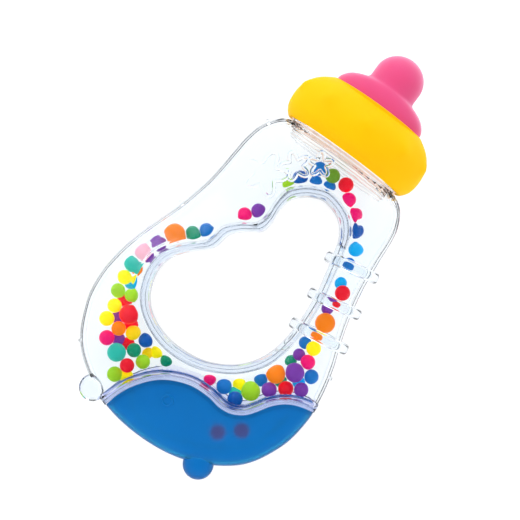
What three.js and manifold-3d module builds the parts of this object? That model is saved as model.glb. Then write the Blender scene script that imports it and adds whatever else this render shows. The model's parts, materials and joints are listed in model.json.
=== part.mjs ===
// A baby rattle in the shape of a feeding bottle, lying on its back.
// Millimetres. In the rattle's own frame +X is to the right, +Y runs from the base to the
// nipple and +Z faces the front, with the seam between the two half shells at z = 0.
// The outer group then tips the rattle until the collar and the base both touch z = 0.
import * as THREE from "three";
import { mergeVertices } from "three/addons/utils/BufferGeometryUtils.js";
import Module from "manifold-3d";

const wasm = await Module();
wasm.setup();

// ---- Driving dimensions ----
const GAP = 0.3; // running gap between neighbouring pieces
const WALL = 1.4; // wall of the half shells
const RIM = 3.6; // solid rim around the hand opening
const CREST = 10; // half thickness of the body beside the hand opening
const CREST_RUN = 5.5; // from the edge of the opening to the crest
const GRIP_HALF_DEPTH = 7.2; // half thickness of the grip on the right
const EDGE = 4.2; // half thickness, and rounding, along the outer edge
const SHOULDER_LIFT = 0.15; // how much deeper the crest gets below the neck
const SHOULDER_ROUND = 1.4; // rounding where the body's top meets the neck
const TOP_EDGE = { low: 43, high: 45.6, a: 24.5 }; // the outer edge turns into the neck's oval here
const STATIONS = 50; // sections around the body's loop

const NECK = { a: 21, b: 13, bottom: 42.5, top: 58, ridge: 0.5, pitch: 1.8 };
const COLLAR = { a: 26.2, b: 17, bottom: 47, top: 66.4 };
const BUMP = { count: 10, radius: 3.4, y: 57.5, out: 0.8, a: 25.8, b: 16.6 };
const LID = 1.2; // thickness of the neck plug's lid
const NIPPLE = { wall: 1.3, top: 86.4, flange: 2, flangeA: 19.4, flangeB: 12 };
const MOUTH = { a: 17.5, b: 10.7 }; // opening in the collar's top
const LEFT_FOOT = { at: [-22.3, -67.2], radius: 4.7, depth: 4.4 };
const RIGHT_FOOT = { at: [22, -67.1], radius: 5.3, depth: 4.4 };
const PIP = { radius: 0.9, places: [[-27.6, 40.8], [-35.2, 1.2], [-35, -56.6], [40.9, -17.1]] };
const LIP = { width: 3.2, height: 0.5, wall: 1.5 }; // raised band and end wall along the base joint
const STAR_HEIGHT = 0.5;

// Each rib of the body runs from the hand opening to the outer edge: [x, y, x, y].
const RIBS = [
  [4.5, 30, 4, 46.6],
  [11, 27.9, 22.5, 45.6],
  [15, 23.3, 29.4, 38],
  [16.8, 18, 31.2, 24],
  [18.4, 11.5, 32.4, 13.3],
  [20.1, 4, 34.6, 2.8],
  [20.9, -4, 37.4, -6.4],
  [21, -11.8, 40.3, -14.6],
  [19.8, -20, 42.5, -24],
  [16.8, -27, 43.3, -34],
  [11.5, -32.8, 41.2, -46],
  [5, -36.5, 33.6, -59],
  [0, -38, 18, -68.4],
  [-5, -38.6, 0, -71.2],
  [-10.5, -38.4, -18, -68.4],
  [-16, -37, -33.6, -59],
  [-21.5, -34, -41.2, -46],
  [-25.3, -29.6, -43.3, -35],
  [-27.5, -23, -42.7, -25],
  [-26.9, -16.6, -40.6, -15.6],
  [-22.6, -10.4, -37.8, -7],
  [-16.9, -4.6, -35.4, 0],
  [-15.3, 1.8, -33.4, 8],
  [-11.5, 6.1, -32.2, 14],
  [-7, 9.4, -31.5, 20.5],
  [-6, 13.5, -31, 27],
  [-6.4, 18.5, -30.3, 33.5],
  [-5.6, 23.5, -28.2, 40],
  [-2.7, 27, -22.5, 45.6],
  [0.8, 29.1, -10, 46.5],
];
const GRIP_RIBS = [1.9, 2.9, 7.2, 8.6]; // the ribs between which the body is a round grip

// The wavy joint between the clear shells and the blue base, from bottom left to right.
const WAVE = [
  [-15.6, -76], [-15.2, -69], [-13, -61.4], [-9.8, -55.7], [-5.8, -51.1], [-1, -47.95],
  [4.8, -45.95], [11.2, -45.75], [16, -46.5], [20.5, -45.95], [24.5, -43.65], [27.2, -40.3],
  [29.95, -36.05], [33.4, -32.8], [37.7, -30.75], [43, -29.7], [50, -29],
];

// Loose rings on the grip: centre, tilt of the ring's own axis from +Y, outer radius.
const RINGS = [
  { name: "grip_ring_top", at: [24.7, 17.6], lean: 11, outer: 9.9, inner: 7.75 },
  { name: "grip_ring_middle", at: [27.2, 4.2], lean: 11, outer: 9.8, inner: 7.75 },
  { name: "grip_ring_bottom", at: [29.4, -7.7], lean: 9, outer: 11, inner: 8.85 },
];
const RING_WIDTH = 3.8;

const SMALL = 2.45; // radius of a small bead
const LARGE = 3.2; // radius of a large bead

// Loose beads, by where they lie: [x, y, radius, colour, lift]. The lift is how far a bead in
// the upper layer of a heap lies above the rear wall.
const BEADS = {
  shelf: [
    [-12.3, 14.6, SMALL, "purple"],
    [-15.4, 10.7, SMALL, "crimson"],
  ],
  left_arm: [
    [-22.6, -1.3, SMALL, "blue"],
    [-25.9, -5, SMALL, "green"],
    [-30.4, -8.8, LARGE, "orange"],
    [-32.4, -15, SMALL, "purple"],
    [-35.4, -20, SMALL, "pink", 0.3],
    [-35.9, -25.6, SMALL, "teal"],
    [-35.5, -30.6, SMALL, "yellow", 0.2],
    [-34.6, -35.5, SMALL, "lime", 1.1],
    [-29.9, -34, SMALL, "lime", 3.8],
  ],
  left_heap: [
    [-26.9, -39.8, LARGE, "red", 3.8],
    [-32.6, -40.3, SMALL, "yellow", 1.6],
    [-32.1, -45.3, SMALL, "yellow", 1.7],
    [-26.9, -45.7, SMALL, "orange", 2.7],
    [-22.2, -44.2, SMALL, "gold", 3.2],
    [-17.2, -43.7, SMALL, "navy", 2.7],
    [-28.3, -50.6, SMALL, "crimson", 1.4],
    [-22.7, -52.6, LARGE, "teal", 1.7],
    [-18.4, -48.6, SMALL, "green", 3.3],
    [-13.7, -50.1, SMALL, "lime", 2.4],
    [-17.2, -54, SMALL, "red", 3.4],
    [-18.9, -59.1, SMALL, "lime"],
  ],
  right_heap: [
    [13.6, -40.8, SMALL, "blue", 1.5],
    [19, -41.8, SMALL, "navy", 2.8],
    [21.8, -36.6, LARGE, "lime", 2.1],
    [26.5, -32.5, SMALL, "purple", 1.9],
    [25.1, -26.8, LARGE, "orange", 3.9],
    [30.9, -28.9, SMALL, "red", 0.3],
    [30, -22.6, LARGE, "purple", 3.9],
    [35.1, -25.9, SMALL, "purple", 2.1],
    [35.4, -20.4, SMALL, "blue", 2],
    [31.6, -17.1, SMALL, "crimson", 2.5],
    [30.4, -12.2, SMALL, "yellow", 3.4],
  ],
  grip: [
    [28.6, -2.9, LARGE, "orange", 0.8],
    [27.3, 8.8, SMALL, "red", 2.6],
    [22.2, 23.7, SMALL, "sky"],
  ],
  top_arm: [
    [18.5, 29, SMALL, "navy"],
    [15.1, 33, SMALL, "crimson"],
    [10.4, 36, SMALL, "crimson"],
    [6.6, 39.8, SMALL, "red"],
    [1.1, 39.4, SMALL, "moss", 2.8],
    [-3.9, 38.8, SMALL, "blue", 1.9],
    [-7.4, 32.1, SMALL, "navy", 0.4],
  ],
  base: [
    [21, -54.5, SMALL, "red"],
    [27.2, -49.2, SMALL, "crimson"],
  ],
};

// ---- Materials ----
const CLEAR = { color: 0xdfe8f4, roughness: 0.08, metalness: 0, transparent: true, opacity: 0.35 };
const BLUE = { color: 0x1673c4, roughness: 0.12, metalness: 0, transparent: true, opacity: 0.75 };
const YELLOW = { color: 0xffcf00, roughness: 0.4, metalness: 0 };
const PINK = { color: 0xef5a96, roughness: 0.6, metalness: 0 };
const PLUG = { color: 0xf4f4f0, roughness: 0.5, metalness: 0 };
const BEAD_COLOURS = {
  red: 0xe0142c, crimson: 0xe0105a, orange: 0xf58220, gold: 0xe8b800, yellow: 0xffe000,
  lime: 0x9ccc20, moss: 0x659027, green: 0x008c6c, teal: 0x30b0a4, sky: 0x00a0e4, blue: 0x1464c0,
  navy: 0x0c3c8c, purple: 0x6a3ca0, pink: 0xf7b0c6,
};

// ---- Solids ----
function toSolid(geometry) {
  const bare = geometry.clone();
  bare.deleteAttribute("normal");
  bare.deleteAttribute("uv");
  const merged = mergeVertices(bare, 1e-4);
  const vertProperties = merged.attributes.position.array;
  const triVerts = new Uint32Array(merged.index.array);
  return new wasm.Manifold(new wasm.Mesh({ numProp: 3, vertProperties, triVerts }));
}

function toGeometry(solid) {
  const { vertProperties, triVerts } = solid.getMesh();
  const indexed = new THREE.BufferGeometry();
  indexed.setAttribute("position", new THREE.BufferAttribute(vertProperties, 3));
  indexed.setIndex(new THREE.BufferAttribute(triVerts, 1));
  const flat = indexed.toNonIndexed();
  flat.computeVertexNormals();
  return flat;
}

function signedVolume(points, faces) {
  const cross = new THREE.Vector3();
  const six = (sum, [a, b, c]) => sum + points[a].dot(cross.crossVectors(points[b], points[c]));
  return faces.reduce(six, 0) / 6;
}

// A closed skin over rings of points. As a loop the last ring joins the first, and
// otherwise the two end rings are capped.
function skin(rings, loop = false) {
  const size = rings[0].length;
  const points = rings.flat();
  const faces = [];
  const spans = loop ? rings.length : rings.length - 1;
  for (let i = 0; i < spans; i++) {
    const here = i * size;
    const next = ((i + 1) % rings.length) * size;
    for (let j = 0; j < size; j++) {
      const k = (j + 1) % size;
      faces.push([here + j, here + k, next + k], [here + j, next + k, next + j]);
    }
  }
  if (!loop) capEnds(rings, points, faces);
  if (signedVolume(points, faces) < 0) faces.forEach((face) => face.reverse());
  const geometry = new THREE.BufferGeometry().setFromPoints(points);
  geometry.setIndex(faces.flat());
  return toSolid(geometry);
}

function capEnds(rings, points, faces) {
  const size = rings[0].length;
  for (const [ring, start, flip] of [[rings[0], 0, true], [rings.at(-1), points.length - size, false]]) {
    const centre = points.length;
    const sum = ring.reduce((total, point) => total.add(point), new THREE.Vector3());
    points.push(sum.divideScalar(size));
    for (let j = 0; j < size; j++) {
      const k = (j + 1) % size;
      faces.push(flip ? [start + k, start + j, centre] : [start + j, start + k, centre]);
    }
  }
}

// Ellipses stacked along Y: [y, half width, half depth] for each.
function ovalStack(sections, segments = 32) {
  const ring = ([y, a, b]) =>
    Array.from({ length: segments }, (_, i) => {
      const turn = (i / segments) * 2 * Math.PI;
      return new THREE.Vector3(a * Math.cos(turn), y, b * Math.sin(turn));
    });
  return skin(sections.map(ring));
}

function block(size, centre) {
  return toSolid(new THREE.BoxGeometry(...size).translate(...centre));
}

function prism(points, holes = [], depth = 60) {
  const shape = new THREE.Shape(points);
  shape.holes = holes.map((hole) => new THREE.Path(hole));
  const extruded = new THREE.ExtrudeGeometry(shape, { depth, bevelEnabled: false });
  return toSolid(extruded.translate(0, 0, -depth / 2));
}

// ---- The body's surface ----
const smooth = (low, high, x) => THREE.MathUtils.smoothstep(x, low, high);
const curveThrough = (points) =>
  new THREE.CatmullRomCurve3(points.map(([x, y]) => new THREE.Vector3(x, y, 0)), true, "catmullrom", 0.5);
const openingCurve = curveThrough(RIBS.map(([x, y]) => [x, y]));
const edgeCurve = curveThrough(RIBS.map((rib) => [rib[2], rib[3]]));

// One section of the body at t, from 0 to 1 around the loop.
function section(t) {
  const inner = openingCurve.getPoint(t);
  const outer = edgeCurve.getPoint(t);
  const rib = t * RIBS.length;
  const grip = smooth(GRIP_RIBS[0], GRIP_RIBS[1], rib) * (1 - smooth(GRIP_RIBS[2], GRIP_RIBS[3], rib));
  const length = inner.distanceTo(outer);
  return { inner, outer, length, grip };
}

// The profile of a section: how far the crest and the edge's rounding reach, and how high.
function profileOf({ inner, outer, length, grip }) {
  const mix = (a, b) => THREE.MathUtils.lerp(a, b, grip);
  const atNeck = smooth(TOP_EDGE.low, TOP_EDGE.high, outer.y);
  const neckDepth = NECK.b * Math.sqrt(Math.max(0, 1 - (outer.x / TOP_EDGE.a) ** 2));
  const lift = 1 + SHOULDER_LIFT * smooth(24, 34, inner.y + CREST_RUN) * (1 - grip);
  const crest = mix(CREST, GRIP_HALF_DEPTH) * lift;
  return {
    crest,
    rise: mix(CREST_RUN, length / 2),
    round: THREE.MathUtils.lerp(mix(EDGE, length / 2), SHOULDER_ROUND, atNeck),
    edge: THREE.MathUtils.lerp(mix(EDGE, crest), Math.max(neckDepth, EDGE), atNeck),
  };
}

const arc = (x) => Math.sqrt(Math.max(0, 1 - (1 - Math.min(x, 1)) ** 2));

// Half thickness of the body at a distance s from the hand opening.
function halfThickness(cut, s) {
  const { crest, rise, round, edge } = profileOf(cut);
  const flank = Math.max(cut.length - round - rise, 0.01);
  if (s <= rise) return crest * arc(s / rise);
  if (s >= cut.length - round) return edge * arc((cut.length - s) / round);
  return edge + ((crest - edge) * (cut.length - round - s)) / flank;
}

const RIM_STEPS = [0, 0.25, 0.65, 1];
const EDGE_STEPS = [0.55, 0.2, 0];

// The stretch of a section from s = start to length - end, as [s, half thickness] pairs.
function stretch(cut, start, end, thinner) {
  const { rise, round } = profileOf(cut);
  const middle = (rise + cut.length - round) / 2;
  const steps = RIM_STEPS.map((k) => start + (rise - start) * k);
  steps.push(middle, cut.length - Math.max(round, end + 0.6) + 0.01);
  steps.push(...EDGE_STEPS.map((k) => cut.length - end - Math.max(round - end, 0.5) * k));
  return steps.map((s) => [s, Math.max(halfThickness(cut, s) - thinner, 0)]);
}

// A solid half of the body, on the side that the sign gives. Margins are measured inwards.
function halfBody(side, start = 0, end = 0, thinner = 0, below = 0) {
  const rings = [];
  for (let i = 0; i < STATIONS; i++) {
    const cut = section(i / STATIONS);
    const along = cut.outer.clone().sub(cut.inner).normalize();
    const place = ([s, z]) => cut.inner.clone().addScaledVector(along, s).setZ(side * z);
    const path = stretch(cut, start, end, thinner);
    path[0][1] = path.at(-1)[1] = 0;
    path.splice(1, 0, [start + 0.05, Math.max(0.3, halfThickness(cut, start) - thinner)]);
    const ring = path.map(place);
    ring[0].z = -side * below;
    ring.at(-1).z = -side * below;
    rings.push(ring);
  }
  return skin(rings, true);
}

const half = (side) => block([200, 300, 60], [0, 0, side * (30 + GAP / 2)]);

// ---- The joint with the base ----
const waveCurve = new THREE.SplineCurve(WAVE.map(([x, y]) => new THREE.Vector2(x, y)));

// The wave moved sideways, towards the clear side where the distance is positive.
function waveLine(offset, count = 26) {
  return Array.from({ length: count + 1 }, (_, i) => {
    const point = waveCurve.getPoint(i / count);
    const tangent = waveCurve.getTangent(i / count);
    return new THREE.Vector2(point.x - tangent.y * offset, point.y + tangent.x * offset);
  });
}

function baseRegion(offset) {
  const corners = [new THREE.Vector2(80, -29), new THREE.Vector2(80, -100), new THREE.Vector2(-15, -100)];
  return prism([...waveLine(offset), ...corners]);
}

function lipBand() {
  return prism([...waveLine(GAP), ...waveLine(GAP + LIP.width).reverse()]);
}

// ---- Stars embossed on the front ----
const STARS = [
  { at: [-17.6, 25.6], radius: 8.4, turn: 12 },
  { at: [-10.8, 33.4], radius: 5.6, turn: -20 },
  { at: [-4.5, 38.6], radius: 4.8, turn: 30 },
];

function starLine({ at, radius, turn }, grow) {
  const count = 40;
  return Array.from({ length: count }, (_, i) => {
    const angle = (i / count) * 2 * Math.PI;
    const reach = radius * (0.78 + 0.22 * Math.cos(5 * angle)) + grow;
    const facing = angle + THREE.MathUtils.degToRad(90 + turn);
    return new THREE.Vector2(at[0] + reach * Math.cos(facing), at[1] + reach * Math.sin(facing));
  });
}

// ---- Shells ----
function neckSolid() {
  const { a, b, bottom, top, ridge, pitch } = NECK;
  const sections = [[bottom - 4, a, b]];
  for (let y = bottom; y < COLLAR.bottom + 1; y += pitch) {
    sections.push([y, a, b], [y + pitch / 2, a + ridge, b + ridge]);
  }
  sections.push([COLLAR.bottom + 2.2, a, b], [top, a, b]);
  return ovalStack(sections);
}

function foot({ at, radius, depth }) {
  const ball = new THREE.SphereGeometry(radius, 14, 8);
  return toSolid(ball.scale(1, 1, depth / radius).translate(at[0], at[1], 0));
}

function pips() {
  const ball = ([x, y]) => toSolid(new THREE.SphereGeometry(PIP.radius, 6, 4).translate(x, y, 0));
  return PIP.places.map(ball);
}

function cavity(side) {
  const neckBore = ovalStack([
    [NECK.bottom - 6, NECK.a - WALL - 3, NECK.b - WALL - 3],
    [NECK.bottom, NECK.a - WALL, NECK.b - WALL],
    [NECK.top + 1, NECK.a - WALL, NECK.b - WALL],
  ]);
  return halfBody(side, RIM, WALL, WALL, 1).add(neckBore);
}

// Whatever a region covers on the body's face, raised by a height.
function raised(side, region, height) {
  return halfBody(side, 0, 0, -height).intersect(region);
}

function clearShell(side) {
  let shell = halfBody(side).add(neckSolid()).add(foot(LEFT_FOOT));
  for (const pip of pips()) shell = shell.add(pip);
  shell = shell.add(raised(side, lipBand(), LIP.height));
  if (side > 0) {
    for (const star of STARS) {
      shell = shell.add(raised(side, prism(starLine(star, 0), [starLine(star, -0.9)]), STAR_HEIGHT));
    }
  }
  const hollow = cavity(side).subtract(baseRegion(LIP.wall));
  return shell.subtract(hollow).intersect(half(side)).subtract(baseRegion(GAP));
}

function baseShell(side) {
  const solid = halfBody(side).add(foot(RIGHT_FOOT)).intersect(baseRegion(0));
  const hollow = halfBody(side, RIM, WALL, WALL, 1).intersect(baseRegion(-WALL));
  return solid.subtract(hollow).intersect(half(side));
}

// ---- Neck plug, nipple and collar ----
function neckPlug() {
  const a = NECK.a - WALL - GAP;
  const b = NECK.b - WALL - GAP;
  const lid = NECK.top + GAP;
  return ovalStack([[lid - 5, a, b], [lid, a, b], [lid, NECK.a, NECK.b], [lid + LID, NECK.a, NECK.b]]);
}

function nipple() {
  const { wall, flange, flangeA, flangeB, top } = NIPPLE;
  const seat = NECK.top + GAP + LID + GAP;
  const skirt = [[seat, flangeA, flangeB], [seat + flange, flangeA, flangeB]];
  const throat = [[seat + flange, 17.1, 10.3], [67.3, 17.1, 10.3]];
  const shoulder = [[69, 16.4, 10.1], [70.7, 14.8, 9.6], [72.3, 11.8, 9], [73.8, 8.9, 8.6]];
  const bulb = [[76.5, 8.7, 8.7], [79, 8.6, 8.6], [82, 7.5, 7.5], [84.3, 5.6, 5.6], [85.8, 3.1, 3.1]];
  const outside = ovalStack([...skirt, ...throat, ...shoulder, ...bulb, [top, 0.8, 0.8]]);
  const inside = ovalStack([
    [seat - 1, 15, 8.6], [67, 15, 8.6], [70, 12.6, 8], [72.6, 8.4, 7.2],
    [75.5, 8.7 - wall, 8.7 - wall], [79, 8.6 - wall, 8.6 - wall], [82, 5.8, 5.8], [84.6, 2.4, 2.4],
  ], 24);
  return outside.subtract(inside);
}

function collarBody() {
  const slim = COLLAR.a - COLLAR.b;
  const widths = [[47, 22.6], [47.4, 24], [49.6, 25.4], [52.5, 26.1], [55.5, 26.2], [58.5, 25.6]];
  const top = [[61.2, 24.3], [63.4, 22.3], [65.2, 19.8], [COLLAR.top, 18]];
  return ovalStack([...widths, ...top].map(([y, a]) => [y, a, a - slim]), 36);
}

function bump(index) {
  const turn = ((index + 0.5) / BUMP.count) * 2 * Math.PI;
  const reach = BUMP.out - BUMP.radius;
  const x = (BUMP.a + reach) * Math.cos(turn);
  const z = (BUMP.b + reach) * Math.sin(turn);
  return toSolid(new THREE.SphereGeometry(BUMP.radius, 10, 8).translate(x, BUMP.y, z));
}

function collar() {
  const neckRoom = [NECK.a + NECK.ridge + GAP, NECK.b + NECK.ridge + GAP];
  const flangeTop = NECK.top + LID + NIPPLE.flange + 3 * GAP;
  const bore = ovalStack([[COLLAR.bottom - 1, ...neckRoom], [flangeTop, ...neckRoom]]);
  const mouth = ovalStack([[flangeTop - 1, MOUTH.a, MOUTH.b], [COLLAR.top + 1, MOUTH.a, MOUTH.b]]);
  let body = collarBody();
  for (let i = 0; i < BUMP.count; i++) body = body.add(bump(i));
  return body.subtract(bore).subtract(mouth);
}

// ---- Grip rings, each snapped together from two halves ----
function ringHalf({ at, lean, outer, inner }, side) {
  const middle = (outer + inner) / 2;
  const halfBand = (outer - inner) / 2;
  const profile = Array.from({ length: 7 }, (_, i) => {
    const turn = (i / 6) * 2 * Math.PI;
    return new THREE.Vector2(middle - halfBand * Math.cos(turn), -(RING_WIDTH / 2) * Math.sin(turn));
  });
  const ring = new THREE.LatheGeometry(profile, 28);
  ring.rotateZ(THREE.MathUtils.degToRad(lean)).translate(at[0], at[1], 0);
  return toSolid(ring).intersect(half(side));
}

// ---- Beads ----
const sections = Array.from({ length: 240 }, (_, i) => section(i / 240));

// Half depth of the hollow at a point, read from the nearest section of the body.
function hollowDepth(x, y) {
  const point = new THREE.Vector3(x, y, 0);
  let best = { miss: Infinity };
  for (const cut of sections) {
    const s = THREE.MathUtils.clamp(
      point.clone().sub(cut.inner).dot(cut.outer.clone().sub(cut.inner)) / cut.length, 0, cut.length);
    const nearest = cut.inner.clone().lerp(cut.outer, s / cut.length);
    const miss = nearest.distanceTo(point);
    if (miss < best.miss) best = { miss, depth: halfThickness(cut, s) - WALL };
  }
  return best.depth;
}

const BEAD_CLEARANCE = 0.8;

function beadHeight([x, y, radius]) {
  const around = [[0, 0], [radius, 0], [-radius, 0], [0, radius], [0, -radius]];
  const depths = around.map(([dx, dy], i) => hollowDepth(x + dx, y + dy) + (i ? radius * 0.75 : 0));
  return -(Math.min(...depths) - radius - BEAD_CLEARANCE);
}

// ---- Assembly ----
// The rest plane touches the crest below the hand opening and the bump behind the collar.
const REST = { crest: [-44, -CREST + 0.25], collar: [BUMP.y, -17.15] }; // each as [y, z]
const restTilt = Math.atan2(REST.crest[1] - REST.collar[1], REST.collar[0] - REST.crest[0]);
const restHeight = -(REST.crest[1] + REST.crest[0] * Math.tan(restTilt)) * Math.cos(restTilt);
const lowest = RIGHT_FOOT.at[1] - RIGHT_FOOT.radius;
const centreY = ((NIPPLE.top + lowest) / 2) * Math.cos(restTilt);

// The space under the rest plane, which trims a small flat where the rattle touches it.
function underRestPlane() {
  const slab = new THREE.BoxGeometry(200, 300, 20).translate(0, 0, -10 - restHeight);
  return toSolid(slab.rotateX(-restTilt));
}

const rattle = new THREE.Group();
const lying = new THREE.Group();
lying.rotation.x = restTilt;
lying.position.set(0, -centreY, restHeight);
rattle.add(lying);

function addPiece(name, geometry, look) {
  const mesh = new THREE.Mesh(geometry, new THREE.MeshStandardMaterial(look));
  mesh.name = name;
  lying.add(mesh);
  return mesh;
}

addPiece("rear_shell", toGeometry(clearShell(-1).subtract(underRestPlane())), CLEAR);
addPiece("front_shell", toGeometry(clearShell(1)), CLEAR);
addPiece("base_rear_shell", toGeometry(baseShell(-1)), BLUE);
addPiece("base_front_shell", toGeometry(baseShell(1)), BLUE);
addPiece("neck_plug", toGeometry(neckPlug()), PLUG);
addPiece("nipple", toGeometry(nipple()), PINK);
addPiece("collar", toGeometry(collar().subtract(underRestPlane())), YELLOW);

for (const ring of RINGS) {
  addPiece(`${ring.name}_front`, toGeometry(ringHalf(ring, 1)), CLEAR);
  addPiece(`${ring.name}_rear`, toGeometry(ringHalf(ring, -1)), CLEAR);
}

for (const [place, beads] of Object.entries(BEADS)) {
  beads.forEach((bead, index) => {
    const [x, y, radius, colour, lift = 0] = bead;
    const ball = new THREE.IcosahedronGeometry(radius, 1);
    const look = { color: BEAD_COLOURS[colour], roughness: 0.25, metalness: 0 };
    const mesh = addPiece(`bead_${place}_${index + 1}`, ball, look);
    mesh.position.set(x, y, beadHeight(bead) + lift);
  });
}

export default rattle;
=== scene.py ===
"""A baby rattle in the shape of a feeding bottle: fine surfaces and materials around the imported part."""

import json
import math

import bpy
from mathutils import Matrix, Vector
from mathutils.bvhtree import BVHTree


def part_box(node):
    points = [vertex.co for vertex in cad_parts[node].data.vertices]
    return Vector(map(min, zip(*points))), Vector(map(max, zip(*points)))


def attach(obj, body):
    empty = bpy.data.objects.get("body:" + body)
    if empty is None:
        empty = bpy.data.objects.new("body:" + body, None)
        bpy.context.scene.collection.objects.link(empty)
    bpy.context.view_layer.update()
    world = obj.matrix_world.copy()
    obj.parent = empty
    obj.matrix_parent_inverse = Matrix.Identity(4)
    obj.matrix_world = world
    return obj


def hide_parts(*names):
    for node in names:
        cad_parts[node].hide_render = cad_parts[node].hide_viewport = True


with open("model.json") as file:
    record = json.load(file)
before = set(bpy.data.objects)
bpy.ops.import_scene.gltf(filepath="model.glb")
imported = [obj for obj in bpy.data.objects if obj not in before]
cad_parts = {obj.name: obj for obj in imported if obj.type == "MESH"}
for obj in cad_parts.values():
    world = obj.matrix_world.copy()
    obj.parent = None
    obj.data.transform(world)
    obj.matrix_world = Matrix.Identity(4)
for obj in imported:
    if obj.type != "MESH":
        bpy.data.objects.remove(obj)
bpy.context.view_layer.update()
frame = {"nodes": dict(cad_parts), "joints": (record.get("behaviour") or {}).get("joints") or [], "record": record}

# ---- Dimensions, in millimetres, in the rattle's own frame: seam at z = 0, nipple towards +Y ----
MM = 0.001
SEAM = 0.06  # half of the fine gap between the half shells
JOINT = 0.12  # fine gap between the clear shells and the blue base
WALL = 1.3  # wall of the shells
RIM = 3.5  # solid rim around the hand opening
CREST = 10  # half thickness of the body beside the hand opening
CREST_RUN = 5.5  # from the edge of the opening to the crest
GRIP_HALF_DEPTH = 7.2
EDGE = 4.2  # half thickness, and rounding, along the outer edge
SHOULDER_LIFT = 0.15  # how much deeper the crest gets below the neck
SHOULDER_LIFT_RUN = (24, 34)  # the heights between which it does
SHOULDER_ROUND = 1.4
TOP_EDGE = {"low": 43, "high": 45.6, "a": 24.5}  # the outer edge turns into the neck's oval here
STATIONS = 220  # sections around the body's loop
PATH_POINTS = 56  # points along each section's outline

NECK = {"a": 21, "b": 13, "bottom": 44.6, "top": 58, "ridge": 0.16, "pitch": 1.1, "ridges_end": 49}
# Each soft bump fades out from its middle: along is in millimetres per radian, up stretches its height.
COLLAR_BUMP = {"count": 10, "y": 58.5, "out": 0.95, "reach": 2.9, "along": 23, "up": 1.1, "from": 22.3}
# The inside of the collar gets the paler lining with its painted glow.
COLLAR_INSIDE = {"top": 62.1, "a": 21.85, "b": 13.85}  # what counts as the inside, a little over its size
LEFT_FOOT = {"at": (-22.3, -67.2), "radius": 4.7, "depth": 4.0}
RIGHT_FOOT = {"at": (22, -67.1), "radius": 5.3, "depth": 4.0}
BEAD_GROWTH = 1.08  # the most that a bead may stand over its packed size
PIP = {"radius": 0.9, "places": [(-27.6, 40.8), (-35.2, 1.2), (-35, -56.6), (40.9, -17.1)]}
LIP = {"width": 3.2, "height": 0.35, "wall": 1.5, "ridges": (0.55, 2.7), "round": 0.45}
STAR_ROUND = 0.65  # radius of the round line of each star

# Each section of the body runs from the hand opening to the outer edge: x, y, x, y.
RIBS = [
    (4.5, 30, 4, 46.6), (11, 27.9, 22.5, 45.6), (15, 23.3, 29.4, 38), (16.8, 18, 31.2, 24),
    (18.4, 11.5, 32.4, 13.3), (20.1, 4, 34.6, 2.8), (20.9, -4, 37.4, -6.4), (21, -11.8, 40.3, -14.6),
    (19.8, -20, 42.5, -24), (16.8, -27, 43.3, -34), (11.5, -32.8, 41.2, -46), (5, -36.5, 33.6, -59),
    (0, -38, 18, -68.4), (-5, -38.6, 0, -71.2), (-10.5, -38.4, -18, -68.4), (-16, -37, -33.6, -59),
    (-21.5, -34, -41.2, -46), (-25.3, -29.6, -43.3, -35), (-27.5, -23, -42.7, -25),
    (-26.9, -16.6, -40.6, -15.6), (-22.6, -10.4, -37.8, -7), (-16.9, -4.6, -35.4, 0),
    (-15.3, 1.8, -33.4, 8), (-11.5, 6.1, -32.2, 14), (-7, 9.4, -31.5, 20.5), (-6, 13.5, -31, 27),
    (-6.4, 18.5, -30.3, 33.5), (-5.6, 23.5, -28.2, 40), (-2.7, 27, -22.5, 45.6), (0.8, 29.1, -10, 46.5),
]
GRIP_RIBS = (1.9, 2.9, 7.2, 8.6)  # the sections between which the body is a round grip

# The wavy joint between the clear shells and the blue base, from bottom left to right.
WAVE = [
    (-15.6, -76), (-15.2, -69), (-13, -61.4), (-9.8, -55.7), (-5.8, -51.1), (-1, -47.95), (4.8, -45.95),
    (11.2, -45.75), (16, -46.5), (20.5, -45.95), (24.5, -43.65), (27.2, -40.3), (29.95, -36.05),
    (33.4, -32.8), (37.7, -30.75), (43, -29.7), (50, -29),
]

# A rib on the inside of the base, from left to right, and the ring of a small boss.
RIB_LINE = [
    (-12, -52), (-11, -57.5), (-8.5, -63), (-2, -65.5), (7.4, -64.8), (16.4, -61.9), (21.8, -59.2),
    (30.7, -52.7), (34, -47.2), (35.7, -41), (36.1, -35), (36, -30),
]
RIB_ROUND = 0.5
BOSS = {"at": (0.8, -54.9), "radius": 1.7, "round": 0.45}
RIM_LINES = (1.3, 2.5)  # fine raised lines around the hand opening, at these distances from its edge
RIM_ROUND = 0.24
EDGE_LINE = {"inset": 1.4, "round": 0.18}  # a fine raised line along the outer edge
NECK_LINES = {"heights": (41.8, 42.8, 43.8), "reach": 19, "round": 0.2}  # lines below the neck

RINGS = [
    {"name": "grip_ring_top", "at": (24.7, 17.6), "lean": 11, "outer": 9.9, "inner": 7.75},
    {"name": "grip_ring_middle", "at": (27.2, 4.2), "lean": 11, "outer": 9.8, "inner": 7.75},
    {"name": "grip_ring_bottom", "at": (29.4, -7.7), "lean": 9, "outer": 11, "inner": 8.85},
]
RING_WIDTH = 3.8

STARS = [
    {"at": (-17.6, 25.6), "radius": 8.4, "turn": 12},
    {"at": (-10.8, 33.4), "radius": 5.6, "turn": -20},
    {"at": (-4.5, 38.6), "radius": 4.8, "turn": 30},
]

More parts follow.
